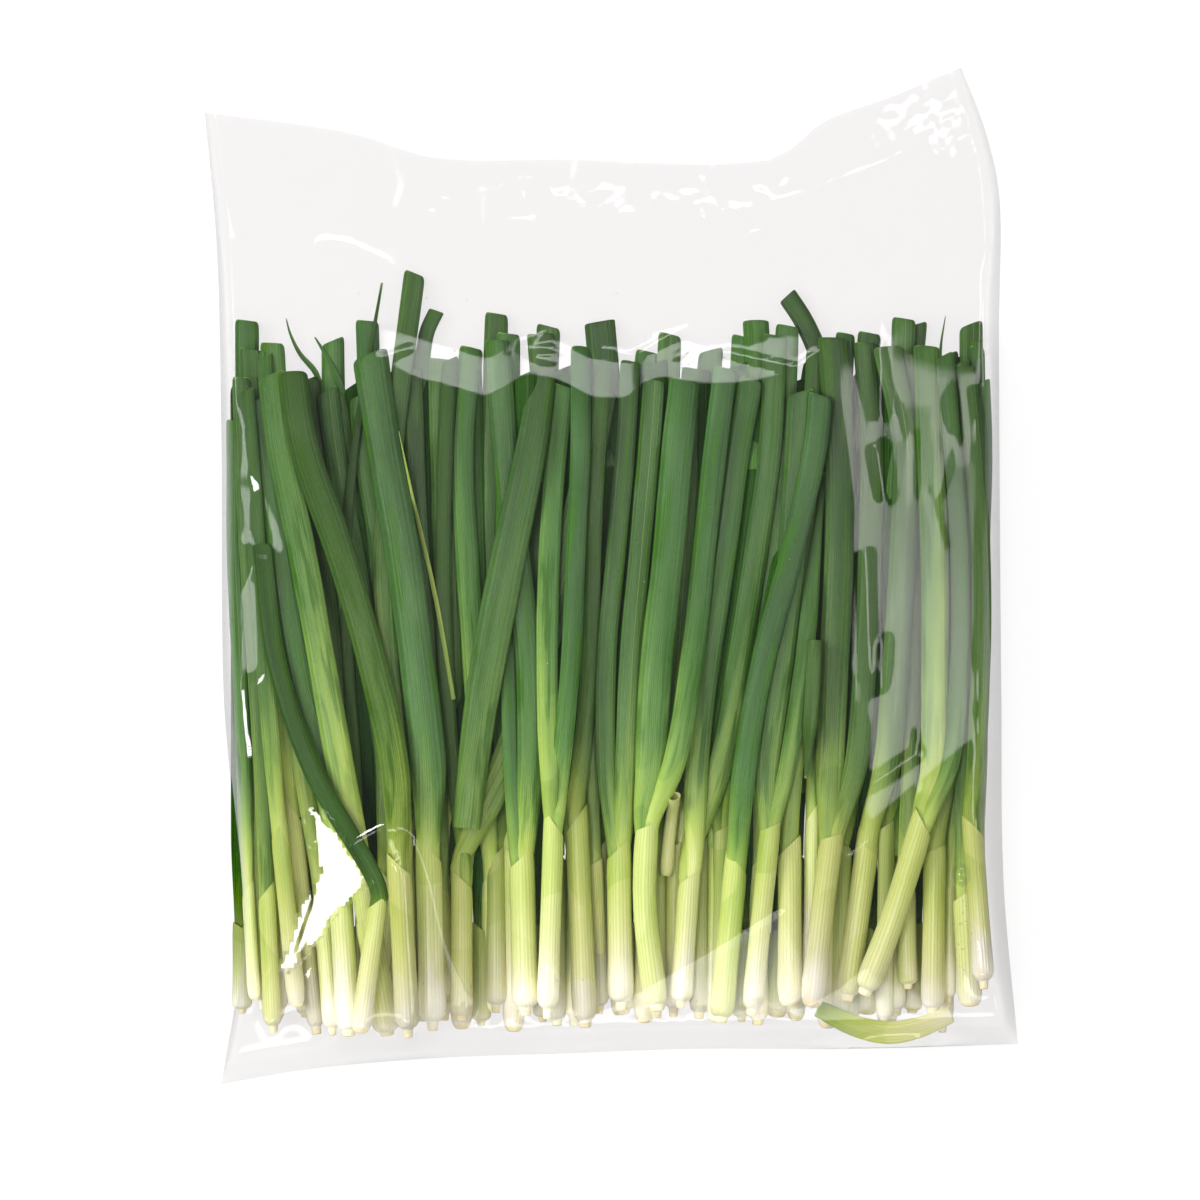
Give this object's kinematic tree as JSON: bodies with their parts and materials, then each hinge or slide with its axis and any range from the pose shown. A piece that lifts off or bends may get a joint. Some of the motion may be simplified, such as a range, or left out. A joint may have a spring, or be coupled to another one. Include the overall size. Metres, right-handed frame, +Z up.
{
  "type": "spring onion bunch",
  "caption": "Trimmed spring onions packed side by side in a clear open-mouthed film bag, lying flat: pale root ends at one end, cut green leaves at the other.",
  "frame": {"origin": "on the surface that the bag lies on, under the middle of its bounding box", "axes": "+Y from the root ends towards the leaf tips and the mouth of the bag, +Z up, +X to the right when looking down with the leaf tips away"},
  "size_m": [0.344, 0.43, 0.0555],
  "materials": {
    "spring_onion": "smooth living skin, white at the root end and green at the leaf end",
    "back_spring_onion": "smooth living skin, white at the root end and dark green at the leaf end",
    "onion_leaf": "smooth ribbed leaf",
    "clear_film": "clear glossy film, lightly creased"
  },
  "bodies": {
    "root": {"onion_01": "spring_onion", "onion_02": "spring_onion", "onion_03": "spring_onion", "onion_04": "spring_onion", "onion_05": "spring_onion", "onion_06": "spring_onion", "onion_07": "spring_onion", "onion_08": "spring_onion", "onion_09": "spring_onion", "onion_10": "spring_onion", "onion_11": "spring_onion", "onion_12": "spring_onion", "onion_13": "spring_onion", "onion_14": "spring_onion", "onion_15": "spring_onion", "onion_16": "spring_onion", "onion_17": "spring_onion", "onion_18": "spring_onion", "onion_19": "spring_onion", "onion_20": "spring_onion", "onion_21": "spring_onion", "onion_22": "spring_onion", "onion_23": "spring_onion", "onion_24": "spring_onion", "onion_25": "spring_onion", "onion_26": "spring_onion", "onion_27": "spring_onion", "onion_28": "spring_onion", "onion_29": "spring_onion", "onion_30": "spring_onion", "onion_31": "spring_onion", "onion_32": "spring_onion", "onion_33": "spring_onion", "onion_34": "spring_onion", "onion_35": "spring_onion", "onion_36": "spring_onion", "onion_37": "spring_onion", "onion_38": "spring_onion", "back_onion_01": "back_spring_onion", "back_onion_02": "back_spring_onion", "back_onion_03": "back_spring_onion", "back_onion_04": "back_spring_onion", "back_onion_05": "back_spring_onion", "back_onion_06": "back_spring_onion", "back_onion_07": "back_spring_onion", "back_onion_08": "back_spring_onion", "back_onion_09": "back_spring_onion", "back_onion_10": "back_spring_onion", "back_onion_11": "back_spring_onion", "back_onion_12": "back_spring_onion", "loose_leaf": "onion_leaf", "leaf_scrap": "onion_leaf", "bag": "clear_film"}
  },
  "joints": []
}
